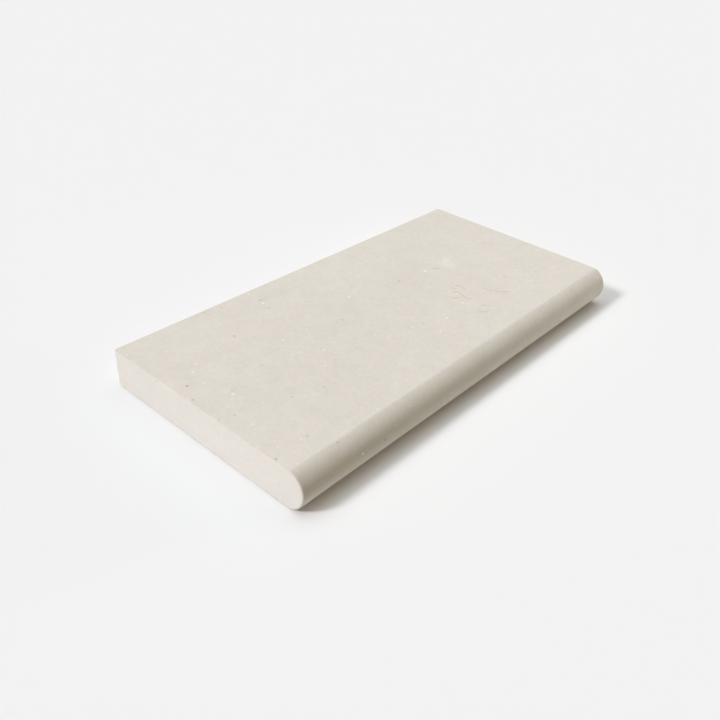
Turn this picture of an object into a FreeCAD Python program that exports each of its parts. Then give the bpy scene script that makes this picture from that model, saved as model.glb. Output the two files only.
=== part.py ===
"""A bullnose tile: one sawn slab of pale limestone, with one long edge ground to a full half round.

The frame: X runs along the rounded edge, Y runs across the tile with the rounded edge towards -Y,
and Z points up, out of the face that is walked on. The origin is on the bed, under the middle of
the tile. All sizes are in millimetres.

The section, drawn in the Y-Z plane, has a flat bed, a half-round nose, a flat top and a square
back edge, and it is the same all along the stone. The arrises of the back edge and of the two
sawn ends are rubbed down to small radii, as a mason leaves them so that they don't chip.
"""

import os

import FreeCAD
import Part

# Sizes of the stone
LENGTH = 600.0
WIDTH = 300.0
THICKNESS = 50.0

# Radii of the rubbed arrises
BACK_TOP_ARRIS = 3.0
BACK_BED_ARRIS = 2.0
END_ARRIS = 1.5

# A full bullnose is half a circle from bed to top, so the thickness sets its radius
NOSE_RADIUS = THICKNESS / 2.0

# Places in the frame
LEFT_END = -LENGTH / 2.0
RIGHT_END = LENGTH / 2.0
FRONT = -WIDTH / 2.0
BACK = WIDTH / 2.0
NOSE_CENTRE = FRONT + NOSE_RADIUS

# Two places nearer than this are the same place
SAME_PLACE = 0.001


def at(y, z):
    """A point of the section, in the plane of the left-hand end."""
    return FreeCAD.Vector(LEFT_END, y, z)


def section():
    """The outline of the stone as its left-hand end shows it, with the back corners still sharp."""
    nose = Part.Arc(at(NOSE_CENTRE, THICKNESS), at(FRONT, NOSE_RADIUS), at(NOSE_CENTRE, 0.0))
    bed = Part.LineSegment(at(NOSE_CENTRE, 0.0), at(BACK, 0.0))
    back = Part.LineSegment(at(BACK, 0.0), at(BACK, THICKNESS))
    top = Part.LineSegment(at(BACK, THICKNESS), at(NOSE_CENTRE, THICKNESS))
    return Part.Wire([line.toShape() for line in (nose, bed, back, top)])


def edges_at(stone, **place):
    """The edges whose middle lies at the given x, y or z."""

    def lies_there(edge):
        middle = edge.CenterOfMass
        return all(abs(getattr(middle, axis) - value) < SAME_PLACE for axis, value in place.items())

    return [edge for edge in stone.Edges if lies_there(edge)]


def bullnose_tile():
    """The section run along the whole length, with its arrises rubbed down."""
    stone = Part.Face(section()).extrude(FreeCAD.Vector(LENGTH, 0.0, 0.0))
    stone = stone.makeFillet(BACK_TOP_ARRIS, edges_at(stone, y=BACK, z=THICKNESS))
    stone = stone.makeFillet(BACK_BED_ARRIS, edges_at(stone, y=BACK, z=0.0))
    for end in (LEFT_END, RIGHT_END):
        stone = stone.makeFillet(END_ARRIS, edges_at(stone, x=end))
    [one_stone] = stone.Solids
    return one_stone


def main():
    os.makedirs("parts", exist_ok=True)
    tile = bullnose_tile()
    tile.exportStep("parts/bullnose_tile.step")
    print("bullnose_tile:", tile.ShapeType, "valid", tile.isValid(), "volume in mm3", round(tile.Volume))


main()
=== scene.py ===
"""The looks of the bullnose tile: one slab of pale shelly limestone, honed on top and round its nose.

All lengths are in metres, in the tile's own frame: X along the nose, Y from the nose to the back,
Z up, with the origin on the bed under the middle of the tile. The stone is made by two trees of
geometry nodes: the first runs the ground section along the tile, and the second eats the small
pits and the knocked arrises into it.
"""

import math

import bpy
from mathutils import Matrix, Vector


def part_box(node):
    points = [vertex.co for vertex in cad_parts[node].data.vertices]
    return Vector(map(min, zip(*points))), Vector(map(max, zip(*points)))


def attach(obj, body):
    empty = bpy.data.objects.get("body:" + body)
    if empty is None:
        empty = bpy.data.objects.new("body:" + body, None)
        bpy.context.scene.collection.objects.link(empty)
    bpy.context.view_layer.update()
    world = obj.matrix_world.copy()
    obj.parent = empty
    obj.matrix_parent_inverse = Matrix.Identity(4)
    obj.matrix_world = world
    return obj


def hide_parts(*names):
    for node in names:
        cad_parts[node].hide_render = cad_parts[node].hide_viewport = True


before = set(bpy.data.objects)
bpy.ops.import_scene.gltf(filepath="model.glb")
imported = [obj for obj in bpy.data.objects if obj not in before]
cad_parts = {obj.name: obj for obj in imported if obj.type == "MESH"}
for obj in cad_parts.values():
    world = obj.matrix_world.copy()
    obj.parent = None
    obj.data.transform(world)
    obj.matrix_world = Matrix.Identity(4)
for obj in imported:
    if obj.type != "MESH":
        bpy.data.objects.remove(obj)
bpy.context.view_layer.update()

MM = 0.001

# Sizes of the stone, from the solid that it replaces
stone_low, stone_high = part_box("bullnose_tile")
LENGTH = stone_high[0] - stone_low[0]
WIDTH = stone_high[1] - stone_low[1]
THICKNESS = stone_high[2] - stone_low[2]
NOSE_RADIUS = THICKNESS / 2
NOSE_CENTRE = stone_low[1] + NOSE_RADIUS
BACK_TOP_ARRIS = 3.0 * MM
BACK_BED_ARRIS = 2.0 * MM
END_ARRIS = 1.5 * MM
# The nose was ground to a slightly larger circle than the thickness, so it meets the top in a
# crease, which the honing took the edge off
NOSE_EXCESS = 1.45 * MM
CREASE_SOFTNESS = 0.6 * MM

# Facets of each quarter turn, and the gap under which two points are one
NOSE_STEPS = 60
ARRIS_STEPS = 7
SAME_POINT = 0.005 * MM

# A face is flat when its normal lies this much or more along one axis, and a flat face is the top
# when its normal points this much or more upward
FLAT = 0.99995
UPWARD = 0.99

# Pits lie in the faces and knocks along the arrises, each so many to the square metre before those
# nearer than the spacing go. They are balls pressed flat and drawn out one way, few of them large,
# and their skins are shaken as rough as broken stone
PIT_DENSITY = 500.0
PIT_SPACING = 9 * MM
SMALLEST_PIT = 0.35 * MM
LARGEST_PIT = 0.9 * MM
KNOCK_DENSITY = 7000.0
KNOCK_SPACING = 14 * MM
SMALLEST_KNOCK = 0.45 * MM
LARGEST_KNOCK = 1.2 * MM
LARGE_RARITY = 4.0
LEAST_STRETCH = (1.0, 1.0, 0.45)
MOST_STRETCH = (1.8, 1.0, 0.8)
BREAK_ROUGHNESS = 1.0 * MM
WEAR_SEED = 5
STRETCH_SEED = 6
SPIN_SEED = 7

# The grey that a noise's colour swings about
NOISE_MIDDLE = (0.5, 0.5, 0.5)

# The photograph's frame and the camera that took it
PHOTO_SIZE = 720
SENSOR = 36.0
FOCAL_PIXELS = 768.9
CAMERA_PLACE = Vector((-0.6696, -0.5151, 0.5340))
CAMERA_AZIMUTH = math.radians(39.76)
CAMERA_PITCH = math.radians(33.97)
CAMERA_ROLL = math.radians(3.73)
CLIP_START = 0.01
CLIP_END = 100

# Small studio light, as the camera sees it: a key from the left, a wide light high on the left and
# another high behind and to the right, a low warm card on the right, a pale wall behind and to the
# right, and a warm ceiling. Together they render a colour about as it is written. The lamps are far
# away: each has an azimuth, a height and a width in degrees, a strength and a colour
FAR_LAMPS = {
    "key": (160, 38, 12, 1.979, "#FDFAFF"),
    "wide_left": (127, 65, 50, 0.902, "#E4F6FF"),
    "wide_right": (20, 68, 50, 0.619, "#E3F3FF"),
    "card": (-26, 8, 16, 0.29, "#FFF6C4"),
}
WALL_TOWARDS = Vector((0.9, 0.0, 0.45))
WALL_NARROWNESS = 2.0
WALL_LEVEL = 0.707
WALL_COLOUR = "#FFEDDC"
CEILING_NARROWNESS = 3.0
CEILING_LEVEL = 0.19
CEILING_COLOUR = "#FFD898"
BACKGROUND = "#F3F3F3"
FLOOR_REACH = 30.0
FLOOR_GAP = 0.1 * MM

# Marks in the honed faces, by their places in the photograph, with radii in millimetres
PITS = [
    ((232, 391), 0.6), ((292, 397), 0.8), ((399, 281), 0.95), ((343, 320), 0.95), ((235, 415), 0.6),
    ((260, 300), 0.95), ((318, 455), 1.0), ((332, 476), 1.2), ((343, 473), 0.7), ((385, 440), 1.15),
    ((193, 400), 1.1), ((219, 419), 0.7), ((276, 459), 1.15),
]
SHELL_FLECKS = [
    ((196, 364), 1.05), ((192.6, 372), 1.2), ((283, 340), 1.1), ((324, 350), 1.25), ((292, 355), 1.0),
    ((349, 297), 1.6), ((425, 271), 2.0), ((488.6, 258.5), 0.9), ((463, 303), 1.5), ((447, 318), 1.4),
    ((263, 303), 1.9), ((233, 394), 1.3), ((306, 329), 0.95),
]
RUST_SPECKS = [((187, 386), 1.4), ((234.5, 336), 1.2)]
DARK_GRAINS = [((323.7, 387), 1.2), ((307.4, 436), 1.1), ((269, 308), 1.2), ((292.5, 397), 1.0)]

# Shells cut edge-on: each is a fine curved line through three places in the photograph
SHELL_EDGES = [
    ((450.5, 286.4), (453.5, 288.4), (457.0, 288.8)),
    ((456.0, 285.4), (461.0, 286.6), (465.0, 291.4)),
    ((451.0, 291.0), (459.0, 293.2), (465.5, 296.6)),
    ((461.0, 294.6), (466.0, 297.6), (470.5, 298.4)),
    ((451.5, 297.2), (455.5, 297.8), (460.0, 297.0)),
    ((481.0, 287.8), (490.0, 289.9), (497.0, 290.6)),
    ((495.0, 290.8), (503.0, 291.6), (512.0, 290.4)),
    ((475.5, 307.0), (482.0, 311.4), (489.5, 309.6)),
    ((481.0, 305.6), (486.0, 305.2), (490.0, 309.0)),
    ((502.5, 278.4), (506.0, 276.8), (509.5, 277.8)),
]
SHELL_EDGE_WIDTH = 1.15 * MM
BROWN_STREAK = ((431.0, 269.2), (436.0, 268.2), (441.0, 269.0))
BROWN_STREAK_WIDTH = 1.8 * MM

# A faint chalky patch, torn by a noise of this size between these two levels
CHALK_PATCH = ((445.0, 262.5), 15.0)
CHALK_TEAR_SIZE = 9 * MM
CHALK_TEAR = (0.38, 0.6)

# Where each mark starts and where it is full, as shares of its radius or of half its length, and
# how wide the full part of a line is
SPOT_EDGE = (1.6, 0.3)
CHALK_EDGE = (1.5, 0.2)
LINE_ENDS = (1.15, 0.6)
LINE_CORE = 0.2

# What each mark is tinted with, and how strongly
SHELL_FLECK_TINT = ("#FBF8F2", 0.85)
DARK_GRAIN_TINT = ("#B3AA98", 0.7)
RUST_SPECK_TINT = ("#BE905C", 0.85)
SHELL_EDGE_TINT = ("#C6AC92", 0.6)
BROWN_STREAK_TINT = ("#C0A184", 0.5)
CHALK_TINT = ("#ECEBE6", 0.75)
# Painted shade: the darker band on the nose, below the top and towards the near end
NOSE_SHADE_TINT = ("#BCB39F", 1.0)
SWEEP_TINT = ("#DDD7CC", 0.2)

# The body of the stone: each row is a size in millimetres, a share of the swing between its two
# tones, and a detail. Over it lies a faint cast, pink at one level of its noise and green at another
MOTTLES = ((130, 0.50, 3.0), (26, 0.60, 2.0), (7, 0.70, 2.0), (2.4, 0.5, 1.0))
CAST_SIZE = 19 * MM
CAST_SWING = (0.35, 0.65)
PINK_CAST = "#FFFDFB"
GREEN_CAST = "#FDFEFB"
STONE_IOR = 1.5
STONE_GLEAM = 0.12

# Grains all through the stone: the spacing, the share of places that hold one, the largest radius,
# the colour and its strength. A fine warp keeps them from being true rounds
GRAINS = (
    (9 * MM, 0.6, 1.5 * MM, "#F6F2EA", 0.7),
    (6 * MM, 0.4, 0.9 * MM, "#B5A48D", 0.5),
    (22 * MM, 0.6, 1.4 * MM, "#C49C74", 0.5),
)
GRAIN_EDGE = 0.3 * MM
WARP_SIZE = 1.6 * MM
WARP_REACH = 0.9 * MM

# Painted shade on the nose: its colour is made a shade deeper, standing in for the shade of a band
# half way down and for less light at the near end. The shade is full this share of the thickness up,
# and below it fades between the next two. The last two are its strength at the far and the near end
NOSE_SHADE_FULL = 0.66
NOSE_SHADE_FADES = 0.6
NOSE_SHADE_ENDS = 0.2
NOSE_SHADE_FAR = 0.02
NOSE_SHADE_NEAR = 0.93

# The saw's sweeps are rings about this far point, so each sawn face shows them as wide arcs
BLADE_CENTRE = (0.16, 0.11, -0.21)
SWEEP_SPACING = 3.5 * MM


def colour(code):
    """An sRGB hex colour as the linear colour that a shader takes."""
    parts = [int(code[i:i + 2], 16) / 255 for i in (1, 3, 5)]
    linear = [p / 12.92 if p <= 0.04045 else ((p + 0.055) / 1.055) ** 2.4 for p in parts]
    return (*linear, 1.0)


def add(tree, kind, inputs=(), **settings):
    """Adds a node with its settings. Each input is a value to set, or a node or output to link."""
    node = tree.nodes.new(kind)
    for name, value in settings.items():
        setattr(node, name, value)
    for name, value in inputs.items() if isinstance(inputs, dict) else enumerate(inputs):
        if isinstance(value, bpy.types.Node):
            value = value.outputs[0]
        if isinstance(value, bpy.types.NodeSocket):
            tree.links.new(value, node.inputs[name])
        else:
            node.inputs[name].default_value = value
    return node


# The camera

def camera_axes():
    """The camera's right, up and back directions."""
    forward = Vector((
        math.cos(CAMERA_PITCH) * math.cos(CAMERA_AZIMUTH),
        math.cos(CAMERA_PITCH) * math.sin(CAMERA_AZIMUTH),
        -math.sin(CAMERA_PITCH),
    ))
    level_right = forward.cross(Vector((0, 0, 1))).normalized()
    level_up = level_right.cross(forward)
    right = level_right * math.cos(CAMERA_ROLL) + level_up * math.sin(CAMERA_ROLL)
    return right, right.cross(forward), -forward


def make_camera():
    """The camera that takes the same picture as the photograph."""
    data = bpy.data.cameras.new("camera")
    data.sensor_width = SENSOR
    data.lens = SENSOR * FOCAL_PIXELS / PHOTO_SIZE
    data.clip_start = CLIP_START
    data.clip_end = CLIP_END
    camera = bpy.data.objects.new("camera", data)
    turn = Matrix(camera_axes()).transposed().to_4x4()
    camera.matrix_world = Matrix.Translation(CAMERA_PLACE) @ turn
    bpy.context.scene.collection.objects.link(camera)
    bpy.context.scene.camera = camera


def on_stone(across, down):
    """The point of the top or the nose that shows at a pixel of the photograph."""
    right, up, back = camera_axes()
    half = PHOTO_SIZE / 2
    ray = right * (across - half) - up * (down - half) - back * FOCAL_PIXELS
    point = CAMERA_PLACE + ray * ((THICKNESS - CAMERA_PLACE.z) / ray.z)
    if point.y > NOSE_CENTRE:
        return point
    # Past the flat top the ray meets the half-round nose instead, a circle in the Y-Z plane
    start_y = CAMERA_PLACE.y - NOSE_CENTRE
    start_z = CAMERA_PLACE.z - NOSE_RADIUS
    a = ray.y ** 2 + ray.z ** 2
    b = start_y * ray.y + start_z * ray.z
    c = start_y ** 2 + start_z ** 2 - NOSE_RADIUS ** 2
    return CAMERA_PLACE + ray * ((-b - math.sqrt(b * b - a * c)) / a)


# The stone's shape

def new_tree(name, inputs):
    """A tree of geometry nodes with the named inputs, and the outputs of its input node."""
    tree = bpy.data.node_groups.new(name, "GeometryNodeTree")
    tree.interface.new_socket("Geometry", in_out="INPUT", socket_type="NodeSocketGeometry")
    for socket_name, kind in inputs.items():
        tree.interface.new_socket(socket_name, in_out="INPUT", socket_type="NodeSocket" + kind)
    tree.interface.new_socket("Geometry", in_out="OUTPUT", socket_type="NodeSocketGeometry")
    return tree, add(tree, "NodeGroupInput").outputs


def slab_tree():
    """The section, ground round at the nose, run along the tile with its end arrises rubbed down."""
    tree, given = new_tree("ground_and_sawn_slab", {
        "Length": "Float", "Width": "Float", "Thickness": "Float", "Back Top Arris": "Float",
        "Back Bed Arris": "Float", "End Arris": "Float", "Nose Excess": "Float",
        "Crease Softness": "Float", "Nose Steps": "Int", "Arris Steps": "Int", "Same Point": "Float",
        "Stone": "Material"})

    # The section in the X-Y plane, nose to the left: a rectangle whose corners are ground round
    rectangle = add(tree, "GeometryNodeCurvePrimitiveQuadrilateral",
                    {"Width": given["Width"], "Height": given["Thickness"]})
    place = add(tree, "ShaderNodeSeparateXYZ", [add(tree, "GeometryNodeInputPosition")])
    at_nose = add(tree, "ShaderNodeMath", [place.outputs["X"], 0.0], operation="LESS_THAN")
    above = add(tree, "ShaderNodeMath", [place.outputs["Y"], 0.0], operation="GREATER_THAN")
    back_radius = add(tree, "GeometryNodeSwitch", input_type="FLOAT", inputs=[
        above, given["Back Bed Arris"], given["Back Top Arris"]])
    nose_radius = add(tree, "ShaderNodeMath", [given["Thickness"], 0.5], operation="MULTIPLY")
    radius = add(tree, "GeometryNodeSwitch", [at_nose, back_radius, nose_radius], input_type="FLOAT")
    steps = add(tree, "GeometryNodeSwitch", [at_nose, given["Arris Steps"], given["Nose Steps"]],
                input_type="INT")
    ground = add(tree, "GeometryNodeFilletCurve", mode="POLY", inputs={
        "Curve": rectangle, "Count": steps, "Radius": radius, "Limit Radius": True})

    # The nose grows a little about its centre, with its front held, and is cut off level with the
    # top and the bed, with the crease there softened
    centre_line = add(tree, "ShaderNodeMath", [given["Width"], -0.5, nose_radius],
                      operation="MULTIPLY_ADD")
    centre = add(tree, "ShaderNodeCombineXYZ", [centre_line])
    reach = add(tree, "ShaderNodeVectorMath", [add(tree, "GeometryNodeInputPosition"), centre],
                operation="SUBTRACT")
    growth = add(tree, "ShaderNodeMath", [given["Nose Excess"], nose_radius], operation="DIVIDE")
    reach = add(tree, "ShaderNodeVectorMath", {0: reach, "Scale": add(
        tree, "ShaderNodeMath", [growth, 1.0], operation="ADD")}, operation="SCALE")
    grown_place = add(tree, "ShaderNodeSeparateXYZ", [
        add(tree, "ShaderNodeVectorMath", [reach, centre], operation="ADD")])
    held = add(tree, "ShaderNodeMath", [grown_place.outputs["X"], given["Nose Excess"]], operation="ADD")
    level = add(tree, "ShaderNodeMath", operation="SMOOTH_MIN", inputs=[
        grown_place.outputs["Y"], nose_radius, given["Crease Softness"]])
    under = add(tree, "ShaderNodeMath", [nose_radius, -1.0], operation="MULTIPLY")
    level = add(tree, "ShaderNodeMath", [level, under, given["Crease Softness"]], operation="SMOOTH_MAX")
    past_centre = add(tree, "ShaderNodeMath", [centre_line, given["Same Point"]], operation="ADD")
    on_nose = add(tree, "ShaderNodeMath", [place.outputs["X"], past_centre], operation="LESS_THAN")
    ground = add(tree, "GeometryNodeSetPosition", {
        "Geometry": ground, "Selection": on_nose,
        "Position": add(tree, "ShaderNodeCombineXYZ", [held, level])})

    # Both nose corners end in the same point, so the doubled point goes before the sweep
    outline = add(tree, "GeometryNodeCurveToMesh", {"Curve": ground})
    outline = add(tree, "GeometryNodeMergeByDistance",
                  {"Geometry": outline, "Distance": given["Same Point"]})
    section = add(tree, "GeometryNodeMeshToCurve", {"Mesh": outline})
    section = add(tree, "GeometryNodeSetCurveNormal", {"Curve": section}, mode="Z_UP")

    # What is swept round the section: the tile's length, with a quarter round down each end
    high = add(tree, "ShaderNodeMath", [given["Length"], 0.5], operation="MULTIPLY")
    low = add(tree, "ShaderNodeMath", [given["Length"], -0.5], operation="MULTIPLY")
    sunk = add(tree, "ShaderNodeMath", [given["End Arris"], -1.0], operation="MULTIPLY")
    corners = [(sunk, low), (0.0, low), (0.0, high), (sunk, high)]
    profile = add(tree, "GeometryNodeCurvePrimitiveQuadrilateral", mode="POINTS", inputs={
        f"Point {number}": add(tree, "ShaderNodeCombineXYZ", corner)
        for number, corner in enumerate(corners, 1)})
    profile = add(tree, "GeometryNodeSetSplineCyclic", {"Geometry": profile, "Cyclic": False})
    profile = add(tree, "GeometryNodeFilletCurve", mode="POLY", inputs={
        "Curve": profile, "Count": given["Arris Steps"], "Radius": given["End Arris"],
        "Limit Radius": True})
    sides = add(tree, "GeometryNodeCurveToMesh", {"Curve": section, "Profile Curve": profile})

    # The two sawn ends close it: the section again, smaller by the arris
    inward = add(tree, "ShaderNodeVectorMath", operation="SCALE",
                 inputs={0: add(tree, "GeometryNodeInputNormal"), "Scale": sunk})
    smaller = add(tree, "GeometryNodeSetPosition", {"Geometry": section, "Offset": inward})
    end = add(tree, "GeometryNodeFillCurve", {"Curve": smaller}, mode="NGONS")
    far_end = add(tree, "GeometryNodeTransform", {
        "Geometry": end, "Translation": add(tree, "ShaderNodeCombineXYZ", {"Z": high})})
    near_end = add(tree, "GeometryNodeTransform", {
        "Geometry": end, "Translation": add(tree, "ShaderNodeCombineXYZ", {"Z": low})})
    near_end = add(tree, "GeometryNodeFlipFaces", {"Mesh": near_end})
    joined = add(tree, "GeometryNodeJoinGeometry")
    for part in (sides, near_end, far_end):
        tree.links.new(part.outputs[0], joined.inputs[0])
    closed = add(tree, "GeometryNodeMergeByDistance",
                 {"Geometry": joined, "Distance": given["Same Point"]})

    # Laid down: the length along X, the nose towards -Y, and the bed on the ground
    laid = add(tree, "GeometryNodeTransform", {
        "Geometry": closed, "Translation": add(tree, "ShaderNodeCombineXYZ", {"Z": nose_radius}),
        "Rotation": (math.radians(90), 0, math.radians(90))})
    real = add(tree, "GeometryNodeRealizeInstances", {"Geometry": laid})
    done = add(tree, "GeometryNodeSetMaterial", {"Geometry": real, "Material": given["Stone"]})
    add(tree, "NodeGroupOutput", [done])
    return tree


def wear_tree():
    """Small pits in the faces and knocked places along the arrises, cut out of the slab."""
    tree, given = new_tree("pits_and_knocks", {
        "Length": "Float", "Width": "Float", "Back Top Arris": "Float", "End Arris": "Float",
        "Pit Density": "Float", "Pit Spacing": "Float", "Smallest Pit": "Float", "Largest Pit": "Float",
        "Knock Density": "Float", "Knock Spacing": "Float", "Smallest Knock": "Float",
        "Largest Knock": "Float", "Marked Pits": "Object", "Roughness": "Float", "Seed": "Int",
        "Top Stone": "Material", "Nose Stone": "Material", "Sawn Stone": "Material",
        "Arris Stone": "Material", "Broken Stone": "Material"})
    slab = given["Geometry"]

    # A face of the flat top, bed, back or ends points straight along an axis
    normal = add(tree, "GeometryNodeInputNormal").outputs["True Normal"]
    straight = add(tree, "ShaderNodeSeparateXYZ",
                   [add(tree, "ShaderNodeVectorMath", [normal], operation="ABSOLUTE")])
    most = add(tree, "ShaderNodeMath", [straight.outputs["X"], straight.outputs["Y"]], operation="MAXIMUM")
    most = add(tree, "ShaderNodeMath", [most, straight.outputs["Z"]], operation="MAXIMUM")
    curved = add(tree, "ShaderNodeMath", [most, FLAT], operation="LESS_THAN")
    flat = add(tree, "ShaderNodeMath", [most, FLAT], operation="GREATER_THAN")

    # An arris is what is curved at an end or along the back
    place = add(tree, "ShaderNodeSeparateXYZ", [add(tree, "GeometryNodeInputPosition")])
    across = add(tree, "ShaderNodeMath", [place.outputs["X"]], operation="ABSOLUTE")
    end_line = add(tree, "ShaderNodeMath", [given["Length"], 0.5], operation="MULTIPLY")
    end_line = add(tree, "ShaderNodeMath", [end_line, given["End Arris"]], operation="SUBTRACT")
    back_line = add(tree, "ShaderNodeMath", [given["Width"], 0.5], operation="MULTIPLY")
    back_line = add(tree, "ShaderNodeMath", [back_line, given["Back Top Arris"]], operation="SUBTRACT")
    at_end = add(tree, "ShaderNodeMath", [across, end_line], operation="GREATER_THAN")
    at_back = add(tree, "ShaderNodeMath", [place.outputs["Y"], back_line], operation="GREATER_THAN")
    arris = add(tree, "ShaderNodeMath", [at_end, at_back], operation="MAXIMUM")
    arris = add(tree, "ShaderNodeMath", [arris, curved], operation="MULTIPLY")
    face = add(tree, "ShaderNodeMath", [1.0, arris], operation="SUBTRACT")

    # Points for the pits and the knocks, each with its radius, and few of them large
    points = add(tree, "GeometryNodeJoinGeometry")
    for name, where, seed_step in (("Pit", face, 1.0), ("Knock", arris, 3.0)):
        own_seed = add(tree, "ShaderNodeMath", [given["Seed"], seed_step], operation="ADD")
        spread = add(tree, "GeometryNodeDistributePointsOnFaces", distribute_method="POISSON", inputs={
            "Mesh": slab, "Selection": where, "Distance Min": given[f"{name} Spacing"],
            "Density Max": given[f"{name} Density"], "Seed": own_seed})
        chance = add(tree, "FunctionNodeRandomValue", {"Seed": own_seed}, data_type="FLOAT")
        rare = add(tree, "ShaderNodeMath", [chance.outputs[1], LARGE_RARITY], operation="POWER")
        size = add(tree, "ShaderNodeMapRange", {
            "Value": rare, "To Min": given[f"Smallest {name}"], "To Max": given[f"Largest {name}"]})
        sized = add(tree, "GeometryNodeSetPointRadius", {"Points": spread, "Radius": size})
        tree.links.new(sized.outputs[0], points.inputs[0])
    marked = add(tree, "GeometryNodeObjectInfo", {"Object": given["Marked Pits"]})
    marked_size = add(tree, "GeometryNodeInputNamedAttribute", {"Name": "size"}, data_type="FLOAT")
    marked = add(tree, "GeometryNodeMeshToPoints",
                 {"Mesh": marked.outputs["Geometry"], "Radius": marked_size})
    tree.links.new(marked.outputs[0], points.inputs[0])

    # Each is a shallow bowl that lies along the surface, longer one way than the other
    outward = add(tree, "GeometryNodeSampleNearestSurface", {"Mesh": slab, "Value": normal},
                  data_type="FLOAT_VECTOR")
    upright = add(tree, "FunctionNodeAlignRotationToVector", {"Vector": outward}, axis="Z")
    chance = add(tree, "FunctionNodeRandomValue", data_type="FLOAT_VECTOR", inputs={
        "Min": LEAST_STRETCH, "Max": MOST_STRETCH, "Seed": STRETCH_SEED})
    angle = add(tree, "FunctionNodeRandomValue", {3: math.tau, "Seed": SPIN_SEED}, data_type="FLOAT")
    spin = add(tree, "FunctionNodeAxisAngleToRotation", {"Angle": angle.outputs[1]})
    turned = add(tree, "FunctionNodeRotateRotation", [upright, spin], rotation_space="LOCAL")
    stretch = add(tree, "ShaderNodeVectorMath", {0: chance, "Scale": add(tree, "GeometryNodeInputRadius")},
                  operation="SCALE")
    ball = add(tree, "GeometryNodeMeshIcoSphere", {"Radius": 1.0, "Subdivisions": 3})
    balls = add(tree, "GeometryNodeInstanceOnPoints", {
        "Points": points, "Instance": ball, "Rotation": turned, "Scale": stretch})
    balls = add(tree, "GeometryNodeRealizeInstances", {"Geometry": balls})
    fineness = add(tree, "ShaderNodeMath", [1.0, given["Roughness"]], operation="DIVIDE")
    noise = add(tree, "ShaderNodeTexNoise", {"Scale": fineness, "Detail": 2.0})
    shake = add(tree, "ShaderNodeVectorMath", [noise.outputs["Color"], NOISE_MIDDLE],
                operation="SUBTRACT")
    shake = add(tree, "ShaderNodeVectorMath", {0: shake, "Scale": given["Roughness"]}, operation="SCALE")
    bites = add(tree, "GeometryNodeSetPosition", {"Geometry": balls, "Offset": shake})
    bites = add(tree, "GeometryNodeStoreNamedAttribute", data_type="BOOLEAN", domain="FACE",
                inputs={"Geometry": bites, "Name": "broken", "Value": True})
    eaten = add(tree, "GeometryNodeMeshBoolean", {"Mesh 1": slab, "Mesh 2": bites},
                operation="DIFFERENCE", solver="MANIFOLD")

    # Flat faces stay flat up to their edges, and the rim of each pit is sharp
    shaded = add(tree, "GeometryNodeSetShadeSmooth", domain="EDGE", inputs={
        "Geometry": eaten, "Selection": eaten.outputs["Intersecting Edges"], "Shade Smooth": False})
    shaded = add(tree, "GeometryNodeSetShadeSmooth", domain="FACE",
                 inputs={"Geometry": shaded, "Shade Smooth": curved})
    stone = add(tree, "GeometryNodeSetMaterial", {"Geometry": shaded, "Material": given["Top Stone"]})
    upward = add(tree, "ShaderNodeSeparateXYZ", [normal])
    not_top = add(tree, "ShaderNodeMath", [upward.outputs["Z"], UPWARD], operation="LESS_THAN")
    sawn = add(tree, "ShaderNodeMath", [flat, not_top], operation="MULTIPLY")
    for name, where in (("Nose", curved), ("Sawn", sawn), ("Arris", arris)):
        stone = add(tree, "GeometryNodeSetMaterial", {
            "Geometry": stone, "Selection": where, "Material": given[f"{name} Stone"]})

    # The wide faces are parted into triangles, so that the pits leave no stray line across them
    parted = add(tree, "GeometryNodeTriangulate", [stone])
    real = add(tree, "GeometryNodeRealizeInstances", {"Geometry": parted})
    broken = add(tree, "GeometryNodeInputNamedAttribute", {"Name": "broken"}, data_type="BOOLEAN")
    done = add(tree, "GeometryNodeSetMaterial", {
        "Geometry": real, "Selection": broken, "Material": given["Broken Stone"]})
    add(tree, "NodeGroupOutput", [done])
    return tree


def grown(thing, tree, values):
    """Runs a tree on an object and keeps the result as its plain mesh."""
    modifier = thing.modifiers.new(tree.name, "NODES")
    modifier.node_group = tree
    for item in tree.interface.items_tree:
        if item.name in values:
            modifier[item.identifier] = values[item.name]
    thing.update_tag()
    evaluated = thing.evaluated_get(bpy.context.evaluated_depsgraph_get())
    made = bpy.data.meshes.new_from_object(evaluated)
    thing.modifiers.clear()
    thing.data = made


def make_stone(honed, profiled, sawn, rubbed, broken):
    """The slab with its wear, in the five finishes of its stone."""
    stone = bpy.data.objects.new("limestone_slab", bpy.data.meshes.new("limestone_slab"))
    bpy.context.scene.collection.objects.link(stone)
    sizes = {"Length": LENGTH, "Width": WIDTH, "Thickness": THICKNESS, "Back Top Arris": BACK_TOP_ARRIS,
             "Back Bed Arris": BACK_BED_ARRIS, "End Arris": END_ARRIS}
    grown(stone, slab_tree(), sizes | {
        "Nose Excess": NOSE_EXCESS, "Crease Softness": CREASE_SOFTNESS, "Nose Steps": NOSE_STEPS,
        "Arris Steps": ARRIS_STEPS, "Same Point": SAME_POINT, "Stone": honed})
    marks = bpy.data.meshes.new("marked_pits")
    marks.from_pydata([on_stone(*pixel) for pixel, radius in PITS], [], [])
    radii = marks.attributes.new("size", "FLOAT", "POINT")
    radii.data.foreach_set("value", [radius * MM for pixel, radius in PITS])
    marked = bpy.data.objects.new("marked_pits", marks)
    bpy.context.scene.collection.objects.link(marked)
    grown(stone, wear_tree(), sizes | {
        "Pit Density": PIT_DENSITY, "Pit Spacing": PIT_SPACING,
        "Smallest Pit": SMALLEST_PIT, "Largest Pit": LARGEST_PIT,
        "Knock Density": KNOCK_DENSITY, "Knock Spacing": KNOCK_SPACING,
        "Smallest Knock": SMALLEST_KNOCK, "Largest Knock": LARGEST_KNOCK,
        "Marked Pits": marked, "Roughness": BREAK_ROUGHNESS, "Seed": WEAR_SEED,
        "Top Stone": honed, "Nose Stone": profiled, "Sawn Stone": sawn, "Arris Stone": rubbed,
        "Broken Stone": broken})
    bpy.data.objects.remove(marked)
    return stone


# The stone's surface

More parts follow.
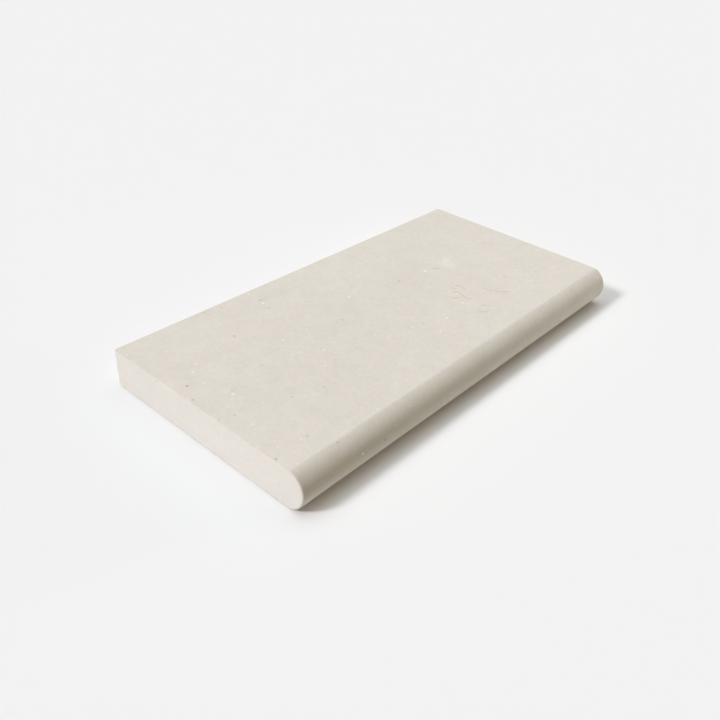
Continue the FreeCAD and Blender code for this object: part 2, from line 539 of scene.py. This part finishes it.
def stone_ground(name, pale, deep, contrast, roughness):
    """A limestone's tree with the body of the stone in it: its place, its colour and its shader.

    The pattern lies in the stone's own space, so what an arris cuts shows on both faces. Lime mud
    gives clouds a hand wide, mottles a finger wide and a grain like sugar, all in two near tones.
    """
    material = bpy.data.materials.new(name)
    material.use_nodes = True
    tree = material.node_tree
    tree.nodes.clear()
    place = add(tree, "ShaderNodeTexCoord").outputs["Object"]
    warp = add(tree, "ShaderNodeTexNoise", {"Vector": place, "Scale": 1 / WARP_SIZE, "Detail": 1.0})
    warp = add(tree, "ShaderNodeVectorMath", [warp.outputs["Color"], NOISE_MIDDLE], operation="SUBTRACT")
    warped = add(tree, "ShaderNodeVectorMath", [warp, (WARP_REACH,) * 3, place], operation="MULTIPLY_ADD")
    tone = 0.5
    for size, share, detail in MOTTLES:
        noise = add(tree, "ShaderNodeTexNoise",
                    {"Vector": place, "Scale": 1 / (size * MM), "Detail": detail})
        swing = add(tree, "ShaderNodeMath", [noise, 0.5], operation="SUBTRACT")
        tone = add(tree, "ShaderNodeMath", [swing, share * contrast, tone], operation="MULTIPLY_ADD")
    ground = add(tree, "ShaderNodeMix", {0: tone, 6: colour(deep), 7: colour(pale)}, data_type="RGBA")
    # Iron and clay turn it faintly pink in one place and faintly green in the next
    drift = add(tree, "ShaderNodeTexNoise", {"Vector": place, "Scale": 1 / CAST_SIZE, "Detail": 3.0})
    pink_level, green_level = CAST_SWING
    drift = add(tree, "ShaderNodeMapRange",
                {"Value": drift, "From Min": pink_level, "From Max": green_level})
    cast = add(tree, "ShaderNodeMix", {0: drift, 6: colour(PINK_CAST), 7: colour(GREEN_CAST)},
               data_type="RGBA")
    ground = add(tree, "ShaderNodeMix", {0: 1.0, 6: ground.outputs[2], 7: cast.outputs[2]},
                 data_type="RGBA", blend_type="MULTIPLY")
    shader = add(tree, "ShaderNodeBsdfPrincipled",
                 {"Roughness": roughness, "IOR": STONE_IOR, "Specular IOR Level": STONE_GLEAM})
    add(tree, "ShaderNodeOutputMaterial", [shader])
    return material, tree, warped, ground.outputs[2], shader


def scattered(tree, place, spacing, share, largest):
    """A mask of small round grains that lie at random in the stone, cut where the surface meets them."""
    cells = add(tree, "ShaderNodeTexVoronoi", {"Vector": place, "Scale": 1 / spacing})
    chance = add(tree, "ShaderNodeSeparateColor", [cells.outputs["Color"]])
    radius = add(tree, "ShaderNodeMapRange", clamp=False, inputs={
        "Value": chance, "From Min": 1 - share, "To Max": largest / spacing})
    depth = add(tree, "ShaderNodeMath", [radius, cells.outputs["Distance"]], operation="SUBTRACT")
    return add(tree, "ShaderNodeMapRange", {"Value": depth, "From Max": GRAIN_EDGE / spacing})


def around(tree, place, point, reach, edge):
    """A soft mask round a point. It starts at the edge's first share of the reach, full at its second."""
    away = add(tree, "ShaderNodeVectorMath", [place, point], operation="DISTANCE")
    start, full = edge
    return add(tree, "ShaderNodeMapRange", interpolation_type="SMOOTHSTEP", inputs={
        "Value": away.outputs["Value"], "From Min": reach * start, "From Max": reach * full})


def spotted(tree, place, spots):
    """A mask of round grains at places marked in the photograph, with their radii in millimetres."""
    mask = 0.0
    for pixel, radius in spots:
        spot = around(tree, place, on_stone(*pixel), radius * MM, SPOT_EDGE)
        mask = add(tree, "ShaderNodeMath", [mask, spot], operation="MAXIMUM")
    return mask


def curved_line(tree, place, start, middle, end, width):
    """A mask of a thin shell cut edge-on, a circle's arc through three places in the photograph."""
    a, b, c = on_stone(*start), on_stone(*middle), on_stone(*end)
    # The centre of the circle through the three points, in the plane of the top
    ab, ac = (b - a).to_2d(), (c - a).to_2d()
    twice_area = 2 * (ab.x * ac.y - ab.y * ac.x)
    centre = a + Vector((
        (ac.y * ab.length_squared - ab.y * ac.length_squared) / twice_area,
        (ab.x * ac.length_squared - ac.x * ab.length_squared) / twice_area, 0))
    reach = add(tree, "ShaderNodeVectorMath", [place, centre], operation="DISTANCE")
    off = add(tree, "ShaderNodeMath", [reach.outputs["Value"], (a - centre).length], operation="SUBTRACT")
    off = add(tree, "ShaderNodeMath", [off], operation="ABSOLUTE")
    line = add(tree, "ShaderNodeMapRange", interpolation_type="SMOOTHSTEP",
               inputs={"Value": off, "From Min": width, "From Max": width * LINE_CORE})
    kept = around(tree, place, b, (c - a).length / 2, LINE_ENDS)
    return add(tree, "ShaderNodeMath", [line, kept], operation="MULTIPLY")


def tinted(tree, base, mask, code, strength):
    """The base colour with another colour laid in where the mask is."""
    amount = add(tree, "ShaderNodeMath", [mask, strength], operation="MULTIPLY")
    return add(tree, "ShaderNodeMix", {0: amount, 6: base, 7: colour(code)}, data_type="RGBA").outputs[2]


def grained(tree, place, shader, size, depth):
    """A fine bump of the stone's own grain."""
    grain = add(tree, "ShaderNodeTexNoise", {"Vector": place, "Scale": 1 / size, "Detail": 3.0})
    bump = add(tree, "ShaderNodeBump", {"Height": grain, "Distance": depth, "Strength": 1.0})
    tree.links.new(bump.outputs[0], shader.inputs["Normal"])


def with_grains(tree, place, base, clearness):
    """The base colour with shell, dark and rusty grains in it, as clear as the face is clean."""
    for spacing, share, largest, code, strength in GRAINS:
        grains = scattered(tree, place, spacing, share, largest)
        base = tinted(tree, base, grains, code, strength * clearness)
    return base


def painted_nose_shade(tree, place):
    """A mask of painted shade on the nose: a band half way down, and most so towards the near end."""
    along = add(tree, "ShaderNodeSeparateXYZ", [place])
    deeper = add(tree, "ShaderNodeMapRange", {
        "Value": along.outputs["Z"], "From Min": THICKNESS, "From Max": THICKNESS * NOSE_SHADE_FULL})
    foot = add(tree, "ShaderNodeMapRange", interpolation_type="SMOOTHSTEP", inputs={
        "Value": along.outputs["Z"], "From Min": THICKNESS * NOSE_SHADE_FADES,
        "From Max": THICKNESS * NOSE_SHADE_ENDS})
    mask = add(tree, "ShaderNodeMath", [deeper, foot], operation="SUBTRACT")
    nearer = add(tree, "ShaderNodeMapRange", {
        "Value": along.outputs["X"], "From Min": LENGTH * 0.5, "From Max": LENGTH * -0.5,
        "To Min": NOSE_SHADE_FAR, "To Max": NOSE_SHADE_NEAR})
    return add(tree, "ShaderNodeMath", [mask, nearer], operation="MULTIPLY")


def chalky(tree, place):
    """A mask of the faint chalky patch, torn at its edge."""
    pixel, radius = CHALK_PATCH
    patch = around(tree, place, on_stone(*pixel), radius * MM, CHALK_EDGE)
    torn = add(tree, "ShaderNodeTexNoise", {"Vector": place, "Scale": 1 / CHALK_TEAR_SIZE, "Detail": 3.0})
    bare, whole = CHALK_TEAR
    torn = add(tree, "ShaderNodeMapRange", {"Value": torn, "From Min": bare, "From Max": whole})
    return add(tree, "ShaderNodeMath", [patch, torn], operation="MULTIPLY")


def marked_limestone(name, pale, deep, roughness):
    """A smooth face of the stone with the shells, specks and patch that the photograph shows."""
    material, tree, place, base, shader = stone_ground(
        name, pale, deep, contrast=0.9, roughness=roughness)
    # Painted shade: the nose is darkened half way down, most towards the near end
    base = tinted(tree, base, painted_nose_shade(tree, place), *NOSE_SHADE_TINT)
    base = with_grains(tree, place, base, clearness=1.0)
    base = tinted(tree, base, chalky(tree, place), *CHALK_TINT)
    edges = 0.0
    for line in SHELL_EDGES:
        edge = curved_line(tree, place, *line, SHELL_EDGE_WIDTH)
        edges = add(tree, "ShaderNodeMath", [edges, edge], operation="MAXIMUM")
    base = tinted(tree, base, edges, *SHELL_EDGE_TINT)
    streak = curved_line(tree, place, *BROWN_STREAK, BROWN_STREAK_WIDTH)
    base = tinted(tree, base, streak, *BROWN_STREAK_TINT)
    base = tinted(tree, base, spotted(tree, place, SHELL_FLECKS), *SHELL_FLECK_TINT)
    base = tinted(tree, base, spotted(tree, place, DARK_GRAINS), *DARK_GRAIN_TINT)
    base = tinted(tree, base, spotted(tree, place, RUST_SPECKS), *RUST_SPECK_TINT)
    tree.links.new(base, shader.inputs["Base Color"])
    grained(tree, place, shader, size=0.8 * MM, depth=0.01 * MM)
    return material


def honed_limestone():
    """The top, honed flat with fine grit: smooth with a low sheen, and its shells show clean."""
    return marked_limestone("honed_limestone", pale="#E8E2DA", deep="#D6D0C8", roughness=0.5)


def profiled_limestone():
    """The nose, ground to its half round by a profile wheel: less fine than the top, so duller."""
    return marked_limestone("profiled_limestone", pale="#E8E3DA", deep="#D6D1C8", roughness=0.52)


def sawn_limestone():
    """Limestone as a fine diamond saw leaves it: paler and duller, with faint sweeps of the blade.

    Its own dust lies on it, so its grains are fainter.
    """
    material, tree, place, base, shader = stone_ground(
        "sawn_limestone", pale="#F1ECE5", deep="#E4DFD6", contrast=0.8, roughness=0.75)
    base = with_grains(tree, place, base, clearness=0.4)
    sweeps = add(tree, "ShaderNodeVectorMath", [place, BLADE_CENTRE], operation="DISTANCE")
    sweeps = add(tree, "ShaderNodeTexNoise", noise_dimensions="1D", inputs={
        "W": sweeps.outputs["Value"], "Scale": 1 / SWEEP_SPACING, "Detail": 2.0})
    base = tinted(tree, base, sweeps, *SWEEP_TINT)
    tree.links.new(base, shader.inputs["Base Color"])
    grained(tree, place, shader, size=0.7 * MM, depth=0.03 * MM)
    return material


def rubbed_limestone():
    """An arris rubbed down by hand: a little rough, and greyer where dust and fingers have been at it."""
    material, tree, place, base, shader = stone_ground(
        "rubbed_limestone", pale="#E6E0D8", deep="#D3CCC3", contrast=1.2, roughness=0.8)
    base = with_grains(tree, place, base, clearness=0.7)
    tree.links.new(base, shader.inputs["Base Color"])
    grained(tree, place, shader, size=0.6 * MM, depth=0.05 * MM)
    return material


def broken_limestone():
    """Limestone where it is pitted or knocked: the raw stone inside, darker than the faces and quite
    rough.
    """
    material, tree, place, base, shader = stone_ground(
        "broken_limestone", pale="#D6CFC3", deep="#BFB7A9", contrast=2.0, roughness=0.9)
    tree.links.new(base, shader.inputs["Base Color"])
    grained(tree, place, shader, size=0.5 * MM, depth=0.10 * MM)
    return material


# The studio

def make_floor():
    """A sweep of pale matt paper, a hair under the bed, that runs out of sight on every side."""
    mesh = bpy.data.meshes.new("floor")
    r = FLOOR_REACH
    under = -FLOOR_GAP
    mesh.from_pydata([(-r, -r, under), (r, -r, under), (r, r, under), (-r, r, under)], [], [(0, 1, 2, 3)])
    floor = bpy.data.objects.new("floor", mesh)
    bpy.context.scene.collection.objects.link(floor)
    material = bpy.data.materials.new("pale_paper_sweep")
    material.use_nodes = True
    tree = material.node_tree
    tree.nodes.clear()
    paper = add(tree, "ShaderNodeBsdfDiffuse", {"Color": colour(BACKGROUND)})
    add(tree, "ShaderNodeOutputMaterial", [paper])
    mesh.materials.append(material)


def make_light():
    """The far lamps, and a world that lights as the ceiling and the wall but shows as the paper."""
    for name, (azimuth, height, width, strength, code) in FAR_LAMPS.items():
        round_about = math.radians(azimuth)
        level = math.cos(math.radians(height))
        towards = Vector((
            level * math.cos(round_about), level * math.sin(round_about), math.sin(math.radians(height))))
        data = bpy.data.lights.new(name, "SUN")
        data.energy = strength
        data.color = colour(code)[:3]
        data.angle = math.radians(width)
        lamp = bpy.data.objects.new(name, data)
        lamp.rotation_euler = towards.to_track_quat("Z", "Y").to_euler()
        bpy.context.scene.collection.objects.link(lamp)

    world = bpy.data.worlds.new("studio")
    bpy.context.scene.world = world
    world.use_nodes = True
    tree = world.node_tree
    tree.nodes.clear()
    direction = add(tree, "ShaderNodeTexCoord").outputs["Generated"]
    fill = add(tree, "ShaderNodeAddShader")
    for slot, (towards, narrowness, most, code) in enumerate((
            (Vector((0, 0, 1)), CEILING_NARROWNESS, CEILING_LEVEL, CEILING_COLOUR),
            (WALL_TOWARDS.normalized(), WALL_NARROWNESS, WALL_LEVEL, WALL_COLOUR))):
        facing = add(tree, "ShaderNodeVectorMath", [direction, towards], operation="DOT_PRODUCT")
        facing = add(tree, "ShaderNodeMath", [facing.outputs["Value"], 0.0], operation="MAXIMUM")
        level = add(tree, "ShaderNodeMath", [facing, narrowness], operation="POWER")
        level = add(tree, "ShaderNodeMath", [level, most], operation="MULTIPLY")
        glow = add(tree, "ShaderNodeBackground", {"Color": colour(code), "Strength": level})
        tree.links.new(glow.outputs[0], fill.inputs[slot])
    shown = add(tree, "ShaderNodeBackground", {"Color": colour(BACKGROUND), "Strength": 1.0})
    path = add(tree, "ShaderNodeLightPath").outputs
    mirrored = add(tree, "ShaderNodeMath", [path["Is Glossy Ray"], path["Is Transmission Ray"]],
                   operation="MAXIMUM")
    seen = add(tree, "ShaderNodeMath", [path["Is Camera Ray"], mirrored], operation="MAXIMUM")
    mixed = add(tree, "ShaderNodeMixShader", [seen, fill, shown])
    add(tree, "ShaderNodeOutputWorld", [mixed])


bpy.context.scene.view_settings.view_transform = "Standard"
make_camera()
make_light()
make_floor()
stone = make_stone(honed_limestone(), profiled_limestone(), sawn_limestone(), rubbed_limestone(),
                   broken_limestone())
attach(stone, "root")
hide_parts("bullnose_tile")
